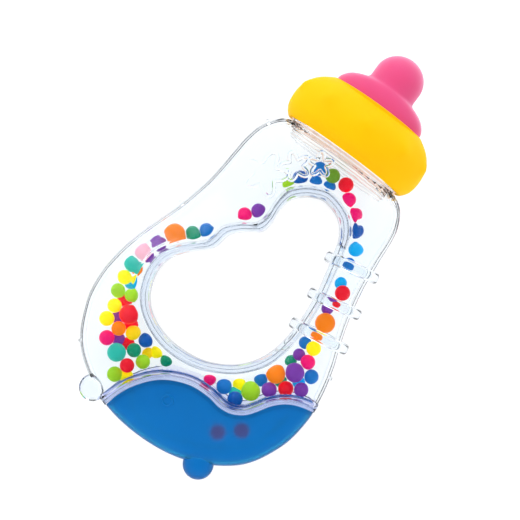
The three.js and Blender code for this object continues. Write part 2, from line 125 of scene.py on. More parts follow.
# Further beads behind the others in the heaps, lying on the rear wall: colour, x, y, radius.
UNDER_BEADS = [
    ("purple", -33, -20.4, 2.2), ("orange", -33.6, -26, 2.2), ("sky", -32.9, -30.9, 2.3),
    ("red", -31.4, -37.3, 2.2), ("purple", -29.6, -43.2, 2.3), ("purple", -25, -49, 2.3),
    ("red", -21.5, -48.4, 2.3), ("red", -24.6, -42.8, 2.2), ("yellow", -12, -45.2, 2.3),
    ("gold", -14.2, -47.4, 1.9), ("green", -7.6, -45.6, 2.2), ("yellow", -15.5, -57.5, 2.4),
    ("crimson", 8.3, -42, 2.2), ("yellow", 17.5, -37.4, 2.3), ("teal", 18, -40.5, 2.2),
    ("blue", 22.5, -31.7, 2.3), ("green", 28.1, -28, 2.2), ("sky", 33.2, -24.6, 2.2),
    ("purple", 28, -17, 2.2), ("blue", 27.2, -12.4, 2.2), ("green", 27, -20.6, 2.2),
    ("orange", 29, -8, 2.2), ("purple", 26.4, 1.6, 2.2), ("red", 28.3, 3.8, 1.6),
    ("sky", 25, 11.2, 2.2), ("blue", 23.4, 18.2, 2.2), ("blue", 2.4, 36, 2.2),
    ("blue", -2.4, 34.6, 2.2), ("lime", -9.6, 28.4, 2.2),
]

# Linear red, green and blue.
BEAD_COLOURS = {
    "red": (0.80, 0.004, 0.02), "crimson": (0.84, 0.003, 0.15), "orange": (0.90, 0.20, 0.003),
    "gold": (0.88, 0.58, 0.0), "yellow": (1.0, 0.84, 0.0), "lime": (0.31, 0.60, 0.015),
    "moss": (0.12, 0.27, 0.015), "green": (0.0, 0.25, 0.13), "teal": (0.02, 0.46, 0.36),
    "sky": (0.0, 0.38, 0.80),
    "blue": (0.005, 0.15, 0.48), "navy": (0.0, 0.08, 0.36), "purple": (0.17, 0.035, 0.33),
    "pink": (0.92, 0.44, 0.55),
}


# ---- The rattle's own frame ----
def rest_matrix():
    """From the rattle's own frame, in millimetres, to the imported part's frame, in metres."""
    slide = next(j for j in frame["joints"] if j["name"] == "bead_shelf_1_slide")
    turn = Matrix.Rotation(math.atan2(-slide["axis"][1], slide["axis"][2]), 4, "X")
    ring = RINGS[1]
    corners = [Vector(p) for half in ("front", "rear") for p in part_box(f"{ring['name']}_{half}")]
    low = Vector(min(p[i] for p in corners) for i in range(3))
    high = Vector(max(p[i] for p in corners) for i in range(3))
    centre = (low + high) / 2
    return Matrix.Translation(centre - turn @ Vector((*ring["at"], 0)) * MM) @ turn @ Matrix.Scale(MM, 4)


REST = rest_matrix()


# ---- Mesh helpers ----
SMOOTH_ANGLE = 32  # degrees: sharper edges than this stay sharp


def new_object(name, points, faces, smooth_angle):
    """Makes an object from points and faces, shaded smooth."""
    mesh = bpy.data.meshes.new(name)
    mesh.from_pydata(points, [], faces)
    mesh.update()
    obj = bpy.data.objects.new(name, mesh)
    bpy.context.scene.collection.objects.link(obj)
    soften(obj, smooth_angle)
    return obj


def soften(obj, smooth_angle):
    """Shades an object smooth, apart from its sharp edges."""
    mesh = obj.data
    mesh.shade_smooth()
    mesh.set_sharp_from_angle(angle=math.radians(smooth_angle))


def volume_sign(points, faces):
    """Positive where the faces of a closed skin look outwards."""
    total = 0.0
    for face in faces:
        a = Vector(points[face[0]])
        for i in range(1, len(face) - 1):
            total += a.dot(Vector(points[face[i]]).cross(Vector(points[face[i + 1]])))
    return total


def skin(name, rings, loop=False, smooth_angle=SMOOTH_ANGLE):
    """A closed skin over rings of points. A loop joins its last ring to its first, else ends are capped."""
    size = len(rings[0])
    points = [tuple(p) for ring in rings for p in ring]
    faces = []
    for i in range(len(rings) if loop else len(rings) - 1):
        here, there = i * size, ((i + 1) % len(rings)) * size
        for j in range(size):
            k = (j + 1) % size
            faces.append((here + j, here + k, there + k, there + j))
    if not loop:
        faces.append(tuple(reversed(range(size))))
        faces.append(tuple(range(len(points) - size, len(points))))
    if volume_sign(points, faces) < 0:
        faces = [tuple(reversed(face)) for face in faces]
    return new_object(name, points, faces, smooth_angle)


def combine(target, tool, operation):
    """Joins or cuts a solid with another one, which is used up."""
    cut = target.modifiers.new("cut", "BOOLEAN")
    cut.object = tool
    cut.operation = operation
    cut.solver = "MANIFOLD"
    graph = bpy.context.evaluated_depsgraph_get()
    mesh = bpy.data.meshes.new_from_object(target.evaluated_get(graph))
    target.modifiers.clear()
    target.data = mesh
    bpy.data.objects.remove(tool)
    return target


def catmull(points, t):
    """A point on the closed curve through the points, at t from 0 to 1."""
    count = len(points)
    at = (t % 1) * count
    i = int(at)
    w = at - i
    p = [points[(i + k - 1) % count] for k in range(4)]
    out = []
    for axis in range(2):
        a, b, c, d = (q[axis] for q in p)
        t0, t1 = (c - a) / 2, (d - b) / 2
        out.append(b + t0 * w + (3 * (c - b) - 2 * t0 - t1) * w**2 + (2 * (b - c) + t0 + t1) * w**3)
    return Vector((*out, 0))


def smooth(low, high, x):
    """A soft step from 0 at the low value to 1 at the high one."""
    k = min(max((x - low) / (high - low), 0), 1)
    return k * k * (3 - 2 * k)


def mix(a, b, k):
    return a + (b - a) * k


# ---- The body's surface ----
def section(t):
    """One section of the body, from the hand opening to the outer edge."""
    inner = catmull([(r[0], r[1]) for r in RIBS], t)
    outer = catmull([(r[2], r[3]) for r in RIBS], t)
    rib = t * len(RIBS)
    g = smooth(GRIP_RIBS[0], GRIP_RIBS[1], rib) * (1 - smooth(GRIP_RIBS[2], GRIP_RIBS[3], rib))
    length = (outer - inner).length
    at_neck = smooth(TOP_EDGE["low"], TOP_EDGE["high"], outer.y)
    neck_depth = NECK["b"] * math.sqrt(max(0, 1 - (outer.x / TOP_EDGE["a"]) ** 2))
    lift = 1 + SHOULDER_LIFT * smooth(*SHOULDER_LIFT_RUN, inner.y + CREST_RUN) * (1 - g)
    crest = mix(CREST, GRIP_HALF_DEPTH, g) * lift
    return {
        "inner": inner, "outer": outer, "length": length, "crest": crest,
        "rise": mix(CREST_RUN, length / 2, g),
        "round": mix(mix(EDGE, length / 2, g), SHOULDER_ROUND, at_neck),
        "edge": mix(mix(EDGE, crest, g), max(neck_depth, EDGE), at_neck),
    }


def arc(x):
    """A quarter circle's height, from 0 at x = 0 to 1 at x = 1 and beyond."""
    return math.sqrt(max(0, 1 - (1 - min(x, 1)) ** 2))


def half_thickness(cut, s):
    """The body's height above the seam, at a distance s from the hand opening."""
    if s <= cut["rise"]:
        return cut["crest"] * arc(s / cut["rise"])
    if s >= cut["length"] - cut["round"]:
        return cut["edge"] * arc((cut["length"] - s) / cut["round"])
    flank = max(cut["length"] - cut["round"] - cut["rise"], 0.01)
    return cut["edge"] + (cut["crest"] - cut["edge"]) * (cut["length"] - cut["round"] - s) / flank


def resample(path, count):
    """The same path as evenly spaced points."""
    reach = [0.0]
    for (s0, z0), (s1, z1) in zip(path, path[1:]):
        reach.append(reach[-1] + math.hypot(s1 - s0, z1 - z0))
    out, k = [], 0
    for i in range(count):
        target = reach[-1] * i / (count - 1)
        while k < len(reach) - 2 and reach[k + 1] < target:
            k += 1
        w = (target - reach[k]) / max(reach[k + 1] - reach[k], 1e-9)
        out.append(tuple(mix(p, q, w) for p, q in zip(path[k], path[k + 1])))
    return out


def outline(cut):
    """The outer surface of one section as (s, height) pairs, with its crest rounded over."""
    rise, length = cut["rise"], cut["length"]
    turn_in = length - cut["round"]
    turns = [math.radians(a) for a in range(0, 91, 6)]
    steps = [rise * (1 - math.cos(a)) for a in turns]
    steps += [mix(rise, turn_in, i / 12) for i in range(1, 12)]
    steps += [turn_in + cut["round"] * math.cos(a) for a in reversed(turns)]
    path = resample([(s, half_thickness(cut, s)) for s in steps], PATH_POINTS)
    kept, rounds = 5, 5
    for _ in range(rounds):
        path = [
            path[i] if not kept < i < PATH_POINTS - kept
            else tuple((a + 2 * b + c) / 4 for a, b, c in zip(path[i - 1], path[i], path[i + 1]))
            for i in range(PATH_POINTS)
        ]
    return path


def offset_path(path, inwards):
    """The path moved square to itself, towards the inside where the distance is positive."""
    out = []
    for i, (s, z) in enumerate(path):
        (s0, z0), (s1, z1) = path[max(i - 1, 0)], path[min(i + 1, len(path) - 1)]
        run = math.hypot(s1 - s0, z1 - z0)
        out.append((s + (z1 - z0) / run * inwards, z - (s1 - s0) / run * inwards))
    return out


def clip_start(path, start):
    """The part of the path beyond s = start, with a square end there."""
    beyond = [p for p in path if p[0] > start and p[1] > 0]
    before = [p for p in path[: path.index(beyond[0])] if p[0] <= start]
    edge = beyond[0]
    if before:
        w = (start - before[-1][0]) / (edge[0] - before[-1][0])
        edge = (start, mix(before[-1][1], edge[1], w))
    return [(start, edge[1])] + beyond


def half_body(name, side, start=0, thinner=0, below=0):
    """A solid half of the body, thinner all round, that starts at a distance from the hand opening
    and reaches a little below the seam."""
    rings = []
    for i in range(STATIONS):
        cut = section(i / STATIONS)
        along = (cut["outer"] - cut["inner"]).normalized()
        path = offset_path(outline(cut), thinner)
        if start:
            path = resample(clip_start(path, start), PATH_POINTS)
        path = [(path[0][0], -below)] + path + [(path[-1][0], -below)]
        rings.append([cut["inner"] + along * s + Vector((0, 0, side * z)) for s, z in path])
    return skin(name, rings, loop=True)


def prism(name, corners, low, high):
    """A straight block over the corners, between two heights."""
    return skin(name, [[(x, y, z) for x, y in corners] for z in (low, high)], smooth_angle=25)


def half_space(side):
    """Everything on one side of the seam, less half of its fine gap."""
    low, high = sorted((side * SEAM, side * 60))
    return prism("half", [(-100, -120), (100, -120), (100, 120), (-100, 120)], low, high)


# ---- The joint with the base ----
def open_curve(points, steps=12):
    """Points and directions along a smooth curve through the points, without its first and last span."""
    line = []
    for i in range(1, len(points) - 2):
        a, b, c, d = (Vector(points[i + j]) for j in (-1, 0, 1, 2))
        t0, t1 = (c - a) / 2, (d - b) / 2
        for k in range(steps):
            w = k / steps
            point = b + t0 * w + (3 * (c - b) - 2 * t0 - t1) * w**2 + (2 * (b - c) + t0 + t1) * w**3
            slope = t0 + (6 * (c - b) - 4 * t0 - 2 * t1) * w + (6 * (b - c) + 3 * t0 + 3 * t1) * w**2
            line.append((point, slope.normalized()))
    return line


def wave_line(offset):
    """The wavy joint, moved towards the clear side where the offset is positive."""
    line = [(p.x - slope.y * offset, p.y + slope.x * offset) for p, slope in open_curve(WAVE)]
    return [(line[0][0], -80)] + line + [(80, line[-1][1])]


def base_region(offset):
    """Everything below the wavy joint, moved towards the clear side by the offset."""
    line = wave_line(offset)
    return prism("region", line + [(80, -90), (line[0][0], -90)], -40, 40)


def band(near, far):
    """A strip along the wavy joint, between two distances from it."""
    return prism("band", wave_line(near) + wave_line(far)[::-1], -40, 40)


def star_line(star):
    """The outline of a rounded star with five arms."""
    points, steps = [], 200
    for i in range(steps):
        angle = i / steps * 2 * math.pi
        reach = star["radius"] * (0.78 + 0.22 * math.cos(5 * angle)) - STAR_ROUND
        facing = angle + math.radians(90 + star["turn"])
        x, y = star["at"]
        points.append((x + reach * math.cos(facing), y + reach * math.sin(facing)))
    return points


def line_beside(edge, distance):
    """A line around the body's loop, at a distance from its inner or its outer edge."""
    cuts = [section(i / STATIONS) for i in range(STATIONS)]
    inwards = distance if edge == "inner" else -distance
    return [(cut[edge] + (cut["outer"] - cut["inner"]).normalized() * inwards).xy for cut in cuts]


def neck_line(height):
    """A straight line across the shoulder, below the neck."""
    reach = NECK_LINES["reach"]
    return [(reach * (i / 60 - 1), height) for i in range(121)]


def circle(at, radius):
    turns = [k / 48 * 2 * math.pi for k in range(48)]
    return [(at[0] + radius * math.cos(a), at[1] + radius * math.sin(a)) for a in turns]


# ---- Lines raised on a surface ----
def surface_of(obj):
    """The object's surface, for casting rays at."""
    return BVHTree.FromObject(obj, bpy.context.evaluated_depsgraph_get())


def on_surface(surface, x, y, side):
    """The point and the normal of a half body's outer surface at x, y, unless it is too steep there."""
    steep = 0.35
    hit, normal, _, _ = surface.ray_cast(Vector((x, y, side * 40)), Vector((0, 0, -side)))
    return (hit, normal) if hit and abs(normal.z) > steep else None


def tube(name, surface, line, side, radius, loop):
    """A round bead of plastic along a line on the surface, half of it standing out."""
    hits = [h for h in (on_surface(surface, x, y, side) for x, y in line) if h]
    rings = []
    for i, (at, normal) in enumerate(hits):
        back = hits[i - 1] if loop or i else hits[0]
        ahead = hits[(i + 1) % len(hits)] if loop or i < len(hits) - 1 else hits[-1]
        across = (ahead[0] - back[0]).normalized().cross(normal)
        turns = [k / 12 * 2 * math.pi for k in range(12)]
        rings.append([at + (across * math.cos(a) + normal * math.sin(a)) * radius for a in turns])
    return skin(name, rings, loop=loop)


# ---- Shells ----
def oval_stack(name, sections, segments=120, smooth_angle=SMOOTH_ANGLE):
    """A solid through ovals given as height, half width and half depth."""
    rings = [
        [(a * math.cos(i / segments * 2 * math.pi), y, b * math.sin(i / segments * 2 * math.pi))
         for i in range(segments)]
        for y, a, b in sections
    ]
    return skin(name, rings, smooth_angle=smooth_angle)


def neck_solid():
    """The neck, with fine ridges up to a little above the collar's lower edge."""
    a, b = NECK["a"], NECK["b"]
    sections = [(NECK["bottom"] - 0.6, a - 2, b - 2), (NECK["bottom"], a, b)]
    steps = 8
    turns = int((NECK["ridges_end"] - NECK["bottom"]) / NECK["pitch"])
    for i in range(turns * steps + 1):
        out = NECK["ridge"] * (0.5 - 0.5 * math.cos(i / steps * 2 * math.pi))
        sections.append((NECK["bottom"] + i / steps * NECK["pitch"], a + out, b + out))
    sections.append((NECK["top"], a, b))
    return oval_stack("neck", sections)


def neck_bore():
    a, b, low = NECK["a"] - WALL, NECK["b"] - WALL, NECK["bottom"]
    return oval_stack("bore", [(low - 1.2, a - 4, b - 4), (low, a, b), (NECK["top"] + 1, a, b)])


def ball(name, at, radius, depth, rows=24, columns=48):
    """A ball on the seam, flatter or deeper than it is wide."""
    rings = []
    for k in range(1, rows):
        reach, z = radius * math.sin(k / rows * math.pi), depth * math.cos(k / rows * math.pi)
        turns = [i / columns * 2 * math.pi for i in range(columns)]
        rings.append([(at[0] + reach * math.cos(a), at[1] + reach * math.sin(a), z) for a in turns])
    return skin(name, rings)


def pip(at):
    return ball("pip", at, PIP["radius"], PIP["radius"], 10, 16)


def raised(side, region, height):
    """A layer that follows the body's surface, within a region and up to a height above it."""
    return combine(half_body("raised", side, 0, -height), region, "INTERSECT")


def clear_shell(name, side):
    """A clear half shell with neck, foot, pips, raised band and lines. The front one has the stars."""
    shell = half_body(name, side)
    surface = surface_of(shell)
    for extra in [neck_solid(), ball("foot", **LEFT_FOOT)] + [pip(at) for at in PIP["places"]]:
        combine(shell, extra, "UNION")
    combine(shell, raised(side, band(JOINT, LIP["width"]), LIP["height"]), "UNION")
    for ridge in LIP["ridges"]:
        line = tube("ridge", surface, wave_line(ridge)[1:-1], side, LIP["round"] + LIP["height"], False)
        combine(shell, line, "UNION")
    for distance in RIM_LINES:
        line = tube("line", surface, line_beside("inner", distance), side, RIM_ROUND, True)
        combine(shell, line, "UNION")
    line = line_beside("outer", EDGE_LINE["inset"])
    combine(shell, tube("line", surface, line, side, EDGE_LINE["round"], True), "UNION")
    for height in NECK_LINES["heights"]:
        line = tube("line", surface, neck_line(height), side, NECK_LINES["round"], False)
        combine(shell, line, "UNION")
    if side > 0:
        for star in STARS:
            combine(shell, tube("star", surface, star_line(star), side, STAR_ROUND, True), "UNION")
    hollow = combine(half_body("hollow", side, RIM, WALL, 1), neck_bore(), "UNION")
    combine(hollow, base_region(LIP["wall"]), "DIFFERENCE")
    combine(shell, hollow, "DIFFERENCE")
    combine(shell, half_space(side), "INTERSECT")
    combine(shell, base_region(JOINT), "DIFFERENCE")
    soften(shell, SMOOTH_ANGLE)
    return shell


def base_shell(name, side):
    """A blue half shell with its foot and an inner rib. The front one has the boss."""
    shell = combine(half_body(name, side), ball("foot", **RIGHT_FOOT), "UNION")
    combine(shell, base_region(0), "INTERSECT")
    if side > 0:
        ring = circle(BOSS["at"], BOSS["radius"])
        combine(shell, tube("boss", surface_of(shell), ring, side, BOSS["round"], True), "UNION")
    hollow = combine(half_body("hollow", side, RIM, WALL, 1), base_region(-WALL), "INTERSECT")
    rib_line = [point.xy for point, _ in open_curve(RIB_LINE)]
    rib = tube("rib", surface_of(hollow), rib_line, side, RIB_ROUND, False)
    combine(shell, hollow, "DIFFERENCE")
    combine(shell, rib, "UNION")
    combine(shell, half_space(side), "INTERSECT")
    soften(shell, SMOOTH_ANGLE)
    return shell


# ---- Collar, nipple, rings and beads ----
def collar_bump(turn, y):
    """How far the soft bumps stand out at this place on the collar."""
    step = 2 * math.pi / COLLAR_BUMP["count"]
    along = (turn % step - step / 2) * COLLAR_BUMP["along"]
    up = (y - COLLAR_BUMP["y"]) * COLLAR_BUMP["up"]
    return COLLAR_BUMP["out"] * math.exp(-((along**2 + up**2) / (COLLAR_BUMP["reach"] ** 2)))


def collar():
    """The oval collar with its bumps, open at both ends, from sections given as height and half width."""
    slim = 9.2  # how much less its half depth is than its half width
    outside = [
        (46.6, 22.4), (46.65, 23.1), (46.9, 23.5), (48.0, 24.5), (49.4, 25.4), (51, 25.9), (52.5, 26.1),
        (54, 26.2), (55.5, 26.15), (57, 25.95), (58.5, 25.55), (60, 24.95), (61.3, 24.2), (62.5, 23.3),
        (63.6, 22.2), (64.5, 21.1), (65.3, 19.9), (65.9, 18.9), (66.3, 18.3), (66.45, 17.9),
    ]
    mouth = [(66.3, 17.45), (65.8, 17.4), (62, 17.4)]
    bore = [(62, 21.8), (46.9, 21.8)]
    sections = [(y, a, a - slim) for y, a in outside]
    sections += [(y, a, 10.6) for y, a in mouth] + [(y, a, 13.8) for y, a in bore]
    segments = 200
    rings = []
    for y, a, b in sections:
        ring = []
        for i in range(segments):
            turn = i / segments * 2 * math.pi
            out = collar_bump(turn, y) if a > COLLAR_BUMP["from"] else 0
            ring.append(((a + out) * math.cos(turn), y, (b + out) * math.sin(turn)))
        rings.append(ring)
    return skin("yellow_collar", rings, loop=True, smooth_angle=50)


def nipple():
    """The soft nipple: flange, throat, shoulder and a round bulb."""
    sections = [
        (59.9, 19.4, 12.0), (61.6, 19.4, 12.0), (61.8, 17.1, 10.3), (66.2, 17.1, 10.35),
        (67.2, 17.15, 10.4), (68.2, 16.9, 10.4), (69.2, 16.3, 10.3), (70.2, 15.5, 10.15),
        (71.1, 14.4, 9.95), (71.9, 13.0, 9.7), (72.5, 11.5, 9.4), (72.95, 10.2, 9.05),
        (73.4, 9.3, 8.75), (74.1, 8.85, 8.6), (75.2, 8.75, 8.65), (76.7, 8.8, 8.75),
    ]
    middle, radius, height, steps = 78.2, 8.8, 8.2, 18
    for k in range(steps):
        turn = k / steps * math.pi / 2
        r = radius * math.cos(turn)
        sections.append((middle + height * math.sin(turn), r, r))
    return oval_stack("soft_nipple", sections, 128, smooth_angle=50)


def squared(wave):
    """A sine or cosine made fuller, which squares off a circle a little."""
    return (abs(wave) ** 0.8) * math.copysign(1, wave)


def grip_ring(ring):
    """One clear ring around the grip, with a softly squared section."""
    at, inner, outer = ring["at"], ring["inner"], ring["outer"]
    middle, reach = (outer + inner) / 2, (outer - inner) / 2
    lean = math.radians(ring["lean"])
    rings, segments, steps = [], 96, 28
    for i in range(segments):
        turn = i / segments * 2 * math.pi
        line = []
        for k in range(steps):
            a = k / steps * 2 * math.pi
            r = middle + reach * squared(math.cos(a))
            y = RING_WIDTH / 2 * squared(math.sin(a))
            x, z = r * math.cos(turn), r * math.sin(turn)
            line.append((at[0] + x * math.cos(lean) - y * math.sin(lean),
                         at[1] + x * math.sin(lean) + y * math.cos(lean), z))
        rings.append(line)
    return skin(ring["name"] + "_clear", rings, loop=True, smooth_angle=60)


def bead(name, centre, radius, seed):
    """A moulded bead: a fine parting ridge around it and a small dimple at its gate."""
    turn = Matrix.Rotation(seed * 2.4, 3, "X") @ Matrix.Rotation(seed * 1.7, 3, "Y")
    rings, rows, columns = [], 20, 32
    for k in range(1, rows):
        polar = k / rows * math.pi
        ridge = 0.012 * math.exp(-((polar - math.pi / 2) * 14) ** 2)
        dimple = -0.05 * math.exp(-(polar * 4.2) ** 2)
        r = radius * (1 + ridge + dimple)
        ring = []
        for i in range(columns):
            around = i / columns * 2 * math.pi
            p = Vector((math.sin(polar) * math.cos(around), math.sin(polar) * math.sin(around),
                        math.cos(polar))) * r
            ring.append(tuple(turn @ p + centre))
        rings.append(ring)
    return skin(name, rings, smooth_angle=80)


# ---- Materials ----
def principled(name):
    """A new material, its node tree and its shader."""
    material = bpy.data.materials.new(name)
    material.use_nodes = True
    tree = material.node_tree
    return material, tree, tree.nodes["Principled BSDF"]


def add_bump(tree, shader, scale, strength, distance):
    """Gives the surface a fine grain, and returns the coordinates it is laid out in."""
    coords = tree.nodes.new("ShaderNodeTexCoord")
    grain = tree.nodes.new("ShaderNodeTexNoise")
    bump = tree.nodes.new("ShaderNodeBump")
    grain.inputs["Scale"].default_value = scale
    grain.inputs["Detail"].default_value = 3
    bump.inputs["Strength"].default_value = strength
    bump.inputs["Distance"].default_value = distance
    tree.links.new(coords.outputs["Object"], grain.inputs["Vector"])
    tree.links.new(grain.outputs["Fac"], bump.inputs["Height"])
    tree.links.new(bump.outputs["Normal"], shader.inputs["Normal"])
    return coords


def vary(tree, coords, socket, scale, low, high, is_colour=False):
    """Feeds a socket with a soft noise between two values."""
    grain = tree.nodes.new("ShaderNodeTexNoise")
    grain.inputs["Scale"].default_value = scale
    grain.inputs["Detail"].default_value = 2
    tree.links.new(coords.outputs["Object"], grain.inputs["Vector"])
    if is_colour:
        ramp = tree.nodes.new("ShaderNodeValToRGB")
        for element, position, colour in zip(ramp.color_ramp.elements, (0.35, 0.65), (low, high)):
            element.position, element.color = position, (*colour, 1)
        tree.links.new(grain.outputs["Fac"], ramp.inputs["Fac"])
        tree.links.new(ramp.outputs["Color"], socket)
    else:
        span = tree.nodes.new("ShaderNodeMapRange")
        span.inputs["From Min"].default_value, span.inputs["From Max"].default_value = 0.3, 0.7
        span.inputs["To Min"].default_value, span.inputs["To Max"].default_value = low, high
        tree.links.new(grain.outputs["Fac"], span.inputs["Value"])
        tree.links.new(span.outputs["Result"], socket)


def body_tint(material, colour, density):
    """Absorption inside the plastic, which shows where it is seen edge on."""
    tree = material.node_tree
    absorb = tree.nodes.new("ShaderNodeVolumeAbsorption")
    absorb.inputs["Color"].default_value = (*colour, 1)
    absorb.inputs["Density"].default_value = density
    tree.links.new(absorb.outputs["Volume"], tree.nodes["Material Output"].inputs["Volume"])


def clear_plastic(name, tint):
    """Clear plastic with a faint tint, glossy and hardly grained."""
    material, tree, shader = principled(name)
    shader.inputs["Base Color"].default_value = (*tint, 1)
    shader.inputs["Transmission Weight"].default_value = 1
    shader.inputs["IOR"].default_value = 1.49
    shader.inputs["Specular Tint"].default_value = (0.12, 0.12, 0.12, 1)
    coords = add_bump(tree, shader, 260, 0.05, 0.0002)
    vary(tree, coords, shader.inputs["Roughness"], 60, 0.015, 0.05)
    body_tint(material, (0.40, 0.58, 0.90), 20)
    return material


def blue_plastic():
    """A milky blue: part of the light passes, part is scattered."""
    material, tree, shader = principled("blue_plastic")
    shader.inputs["Transmission Weight"].default_value = 0.9
    shader.inputs["IOR"].default_value = 1.49
    shader.inputs["Specular Tint"].default_value = (0.12, 0.12, 0.12, 1)
    coords = add_bump(tree, shader, 260, 0.08, 0.0002)
    deep, pale = (0.02, 0.40, 0.75), (0.03, 0.44, 0.79)
    vary(tree, coords, shader.inputs["Base Color"], 45, deep, pale, True)
    vary(tree, coords, shader.inputs["Roughness"], 60, 0.34, 0.40)
    return material


def yellow_plastic():
    """Opaque satin plastic that lets a little light seep through, with a faint painted orange glow that lightens
    its shaded parts.
    """
    material, tree, shader = principled("yellow_plastic")
    shader.inputs["Subsurface Weight"].default_value = 0.4
    shader.inputs["Subsurface Radius"].default_value = (1.0, 0.6, 0.1)
    shader.inputs["Subsurface Scale"].default_value = 0.003
    shader.inputs["Specular IOR Level"].default_value = 0.08
    # Painted glow: a faint orange emission, so that the collar's shaded parts show golden rather than dark.
    shader.inputs["Emission Color"].default_value = (1.0, 0.50, 0.0, 1)
    shader.inputs["Emission Strength"].default_value = 0.2
    coords = add_bump(tree, shader, 900, 0.12, 0.0001)
    deep, pale = (1.0, 0.45, 0.0), (1.0, 0.49, 0.0)
    vary(tree, coords, shader.inputs["Base Color"], 40, deep, pale, True)
    vary(tree, coords, shader.inputs["Roughness"], 120, 0.5, 0.6)
    return material


def collar_lining_glow():
    """The hidden inside of the collar, paler than its outside and with a painted glow, where it would otherwise
    lie in dark shade.
    """
    material, tree, shader = principled("collar_lining_glow")
    shader.inputs["Roughness"].default_value = 0.6
    # Painted glow and a paler colour: painted light in place of the shade inside the collar.
    shader.inputs["Emission Color"].default_value = (1.0, 0.72, 0.62, 1)
    coords = add_bump(tree, shader, 900, 0.12, 0.0001)
    deep, pale = (1.0, 0.70, 0.45), (1.0, 0.78, 0.55)
    vary(tree, coords, shader.inputs["Base Color"], 60, deep, pale, True)
    vary(tree, coords, shader.inputs["Emission Strength"], 90, 0.5, 0.7)
    return material


def pink_rubber():
    """Soft matt rubber, paler where it is seen edge on, with a faint painted pink glow."""
    material, tree, shader = principled("pink_rubber")
    shader.inputs["Subsurface Weight"].default_value = 0.25
    shader.inputs["Subsurface Radius"].default_value = (1.0, 0.3, 0.4)
    shader.inputs["Subsurface Scale"].default_value = 0.003
    shader.inputs["Specular IOR Level"].default_value = 0.2
    shader.inputs["Sheen Weight"].default_value = 1.0
    shader.inputs["Sheen Roughness"].default_value = 0.5
    shader.inputs["Sheen Tint"].default_value = (1.0, 0.65, 0.82, 1)
    # Painted glow: a faint pink emission that lifts the rubber's shaded parts.
    shader.inputs["Emission Color"].default_value = (0.95, 0.09, 0.28, 1)
    shader.inputs["Emission Strength"].default_value = 0.08
    coords = add_bump(tree, shader, 1400, 0.18, 0.0001)
    deep, pale = (0.67, 0.042, 0.165), (0.71, 0.055, 0.19)
    vary(tree, coords, shader.inputs["Base Color"], 50, deep, pale, True)
    vary(tree, coords, shader.inputs["Roughness"], 150, 0.55, 0.68)
    return material


def white_plastic():
    """Plain satin plastic for the plug that closes the neck."""
    material, tree, shader = principled("white_plastic")
    coords = add_bump(tree, shader, 700, 0.1, 0.0001)
    deep, pale = (0.82, 0.80, 0.76), (0.86, 0.84, 0.80)
    vary(tree, coords, shader.inputs["Base Color"], 60, deep, pale, True)
    vary(tree, coords, shader.inputs["Roughness"], 120, 0.4, 0.55)
    return material


def bead_plastic(name, rgb, glow=0.55):
    """Bright pigment, with a painted glow in its own colour that keeps the bead bright where it lies in shade."""
    material, tree, shader = principled(name)
    # Painted glow: emission in the bead's own colour, with its strength given by glow.
    shader.inputs["Emission Color"].default_value = (*rgb, 1)
    shader.inputs["Emission Strength"].default_value = glow
    shader.inputs["Specular IOR Level"].default_value = 0.25
    coords = add_bump(tree, shader, 1200, 0.1, 0.0001)
    darker = tuple(c * 0.93 for c in rgb)
    vary(tree, coords, shader.inputs["Base Color"], 300, darker, rgb, True)
    vary(tree, coords, shader.inputs["Roughness"], 400, 0.35, 0.5)
    return material


CLEAR = clear_plastic("clear_plastic", (0.965, 0.988, 0.992))
BLUE = blue_plastic()
YELLOW = yellow_plastic()
LINING_GLOW = collar_lining_glow()
# Painted refracted colour: the raised band along the base joint is tinted lavender, in place of the lavender that
# the blue base and beads lend it by refraction.
LIP_CLEAR = clear_plastic("clear_plastic_lip", (0.73, 0.76, 0.94))
PINK = pink_rubber()
WHITE = white_plastic()
BEAD = {colour: bead_plastic("bead_" + colour, rgb) for colour, rgb in BEAD_COLOURS.items()}
# Painted glow: the bead inside the blue base glows strongly, so that it shows red through the milky wall.
BASE_BEAD = bead_plastic("bead_in_the_base", (1.0, 0.015, 0.06), 2.6)


# ---- Assembly ----
def place(obj, material, body, slot, *nodes):
    """Puts a piece made in the rattle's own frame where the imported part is."""
    obj.data.transform(REST)
    obj.data.materials.clear()
    obj.data.materials.append(material)
    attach(obj, body)
    if nodes:
        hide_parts(*nodes)
    return obj


def second_finish(obj, material, belongs):
    """Gives a second material to the faces whose centre, in the rattle's own frame, belongs there."""
    obj.data.materials.append(material)
    back = REST.inverted()
    for face in obj.data.polygons:
        face.material_index = int(belongs(back @ face.center))


LIP_LINE = [Vector(point) for point in wave_line(LIP["width"] / 2)]
LIP_REACH = LIP["width"] * 0.62  # from the middle of the band, a little over its half width


def on_lip(point):
    """Whether a point is on the raised band along the base joint."""
    return min((point.xy - step).length for step in LIP_LINE) < LIP_REACH


def in_collar(point):
    """Whether a point is on the inside of the collar."""
    across = math.hypot(point.x / COLLAR_INSIDE["a"], point.z / COLLAR_INSIDE["b"])
    return point.y < COLLAR_INSIDE["top"] and across < 1.01


for facing, side in (("front", 1), ("rear", -1)):
    shell = clear_shell(f"{facing}_clear_shell", side)
    place(shell, CLEAR, "bottle", "clear_shell", f"{facing}_shell")
    # The raised band gets the lavender-tinted plastic, a painted stand-in for colour brought by refraction.
    second_finish(shell, LIP_CLEAR, on_lip)
place(base_shell("front_blue_base", 1), BLUE, "bottle", "blue_base", "base_front_shell")
place(base_shell("rear_blue_base", -1), BLUE, "bottle", "blue_base", "base_rear_shell")
# The inside of the collar gets the glowing lining: painted light where it would lie in shade.
second_finish(place(collar(), YELLOW, "bottle", "yellow_collar", "collar"), LINING_GLOW, in_collar)
place(nipple(), PINK, "bottle", "pink_nipple", "nipple")
for ring in RINGS:
    name = ring["name"]
    place(grip_ring(ring), CLEAR, name, "clear_ring", name + "_front", name + "_rear")

